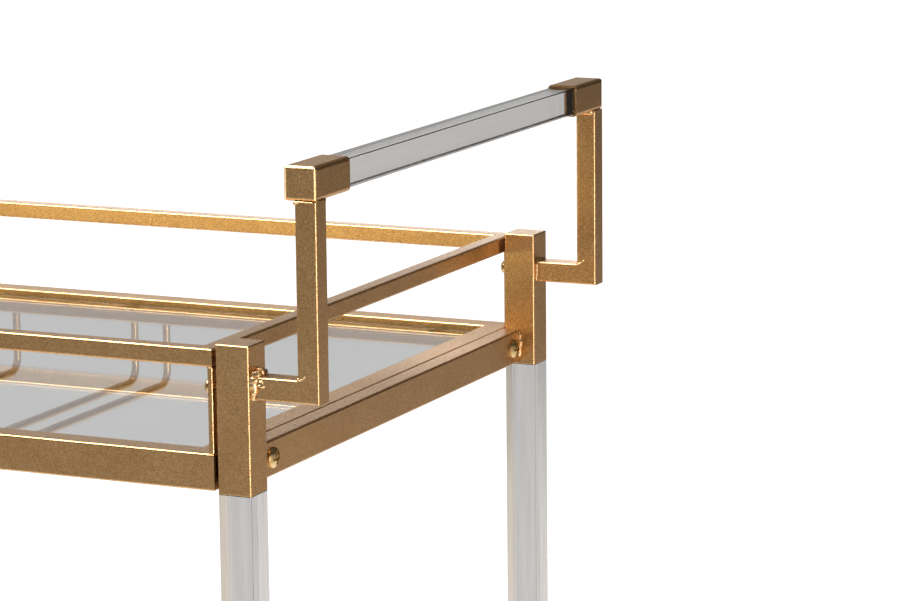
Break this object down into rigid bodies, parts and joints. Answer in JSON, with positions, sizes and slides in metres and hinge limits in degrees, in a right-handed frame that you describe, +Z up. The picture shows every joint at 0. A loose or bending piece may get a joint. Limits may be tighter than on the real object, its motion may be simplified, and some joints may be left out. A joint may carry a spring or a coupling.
{
  "type": "bar cart on wheels",
  "caption": "Two-tier rolling bar cart: gold square-tube trays with glass shelves on clear square legs, a clear grip bar at one end, a stemware rack and swivel casters.",
  "frame": {"origin": "centre of the overall bounding box, at floor level", "axes": "+X along the cart towards the push handle, +Y from the front long side to the back long side, +Z up"},
  "size_m": [0.84, 0.412, 0.8392],
  "materials": {
    "gold_lacquer": "satin metallic gold lacquer on welded steel tube",
    "clear_acrylic": "clear cast acrylic with polished faces",
    "glass": "clear tempered glass with ground edges",
    "clear_silicone": "clear soft bumper",
    "zinc_fasteners": "yellow zinc plate",
    "caster_steel": "bright plated pressed steel",
    "wheel_plastic": "moulded, fine texture",
    "tyre_rubber": "soft grey tread",
    "lever_plastic": "moulded, ribbed"
  },
  "bodies": {
    "cart": {"top_post_front_right": "gold_lacquer", "top_post_back_right": "gold_lacquer", "top_post_front_left": "gold_lacquer", "top_post_back_left": "gold_lacquer", "top_guard_rails": "gold_lacquer", "top_tray_rails": "gold_lacquer", "top_corner_straps": "gold_lacquer", "top_glass_ledges": "gold_lacquer", "top_glass": "glass", "top_glass_pads": "clear_silicone", "top_crossbar_right": "gold_lacquer", "top_crossbar_left": "gold_lacquer", "stemware_rods_right": "gold_lacquer", "stemware_rods_middle": "gold_lacquer", "stemware_rods_left": "gold_lacquer", "handle_arm_front": "gold_lacquer", "handle_arm_back": "gold_lacquer", "handle_socket_front": "gold_lacquer", "handle_socket_back": "gold_lacquer", "handle_bar": "clear_acrylic", "leg_front_right": "clear_acrylic", "leg_back_right": "clear_acrylic", "leg_front_left": "clear_acrylic", "leg_back_left": "clear_acrylic", "bottom_post_front_right": "gold_lacquer", "bottom_post_back_right": "gold_lacquer", "bottom_post_front_left": "gold_lacquer", "bottom_post_back_left": "gold_lacquer", "bottom_guard_rails": "gold_lacquer", "bottom_tray_rails": "gold_lacquer", "bottom_corner_straps": "gold_lacquer", "bottom_glass_ledges": "gold_lacquer", "bottom_glass": "glass", "bottom_glass_pads": "clear_silicone", "bottom_crossbar_right": "gold_lacquer", "bottom_crossbar_left": "gold_lacquer", "tray_bolts": "zinc_fasteners", "crossbar_screws": "zinc_fasteners", "caster_stems": "caster_steel"},
    "swivel_front_right": {"fork_front_right": "caster_steel", "axle_front_right": "zinc_fasteners"},
    "wheel_front_right": {"wheel_hub_front_right": "wheel_plastic", "tyre_front_right": "tyre_rubber"},
    "swivel_back_right": {"fork_back_right": "caster_steel", "axle_back_right": "zinc_fasteners"},
    "wheel_back_right": {"wheel_hub_back_right": "wheel_plastic", "tyre_back_right": "tyre_rubber"},
    "swivel_front_left": {"fork_front_left": "caster_steel", "axle_front_left": "zinc_fasteners"},
    "wheel_front_left": {"wheel_hub_front_left": "wheel_plastic", "tyre_front_left": "tyre_rubber"},
    "swivel_back_left": {"fork_back_left": "caster_steel", "axle_back_left": "zinc_fasteners"},
    "wheel_back_left": {"wheel_hub_back_left": "wheel_plastic", "tyre_back_left": "tyre_rubber"},
    "brake_front_left": {"brake_lever_front_left": "lever_plastic"},
    "brake_back_left": {"brake_lever_back_left": "lever_plastic"}
  },
  "joints": [
    {"name": "swivel_front_right", "type": "hinge", "parent": "cart", "child": "swivel_front_right", "pos_m": [0.37, -0.19, 0.06], "axis": [0, 0, 1], "continuous": true},
    {"name": "roll_front_right", "type": "hinge", "parent": "swivel_front_right", "child": "wheel_front_right", "pos_m": [0.388, -0.19, 0.025], "axis": [0, 1, 0], "continuous": true},
    {"name": "swivel_back_right", "type": "hinge", "parent": "cart", "child": "swivel_back_right", "pos_m": [0.37, 0.19, 0.06], "axis": [0, 0, 1], "continuous": true},
    {"name": "roll_back_right", "type": "hinge", "parent": "swivel_back_right", "child": "wheel_back_right", "pos_m": [0.388, 0.19, 0.025], "axis": [0, 1, 0], "continuous": true},
    {"name": "swivel_front_left", "type": "hinge", "parent": "cart", "child": "swivel_front_left", "pos_m": [-0.404, -0.19, 0.06], "axis": [0, 0, 1], "continuous": true},
    {"name": "roll_front_left", "type": "hinge", "parent": "swivel_front_left", "child": "wheel_front_left", "pos_m": [-0.386, -0.19, 0.025], "axis": [0, 1, 0], "continuous": true},
    {"name": "swivel_back_left", "type": "hinge", "parent": "cart", "child": "swivel_back_left", "pos_m": [-0.404, 0.19, 0.06], "axis": [0, 0, 1], "continuous": true},
    {"name": "roll_back_left", "type": "hinge", "parent": "swivel_back_left", "child": "wheel_back_left", "pos_m": [-0.386, 0.19, 0.025], "axis": [0, 1, 0], "continuous": true},
    {"name": "brake_front_left", "type": "hinge", "parent": "swivel_front_left", "child": "brake_front_left", "pos_m": [-0.38, -0.19, 0.057], "axis": [0, 1, 0], "range_deg": [0, 18]},
    {"name": "brake_back_left", "type": "hinge", "parent": "swivel_back_left", "child": "brake_back_left", "pos_m": [-0.38, 0.19, 0.057], "axis": [0, 1, 0], "range_deg": [0, 18]}
  ]
}
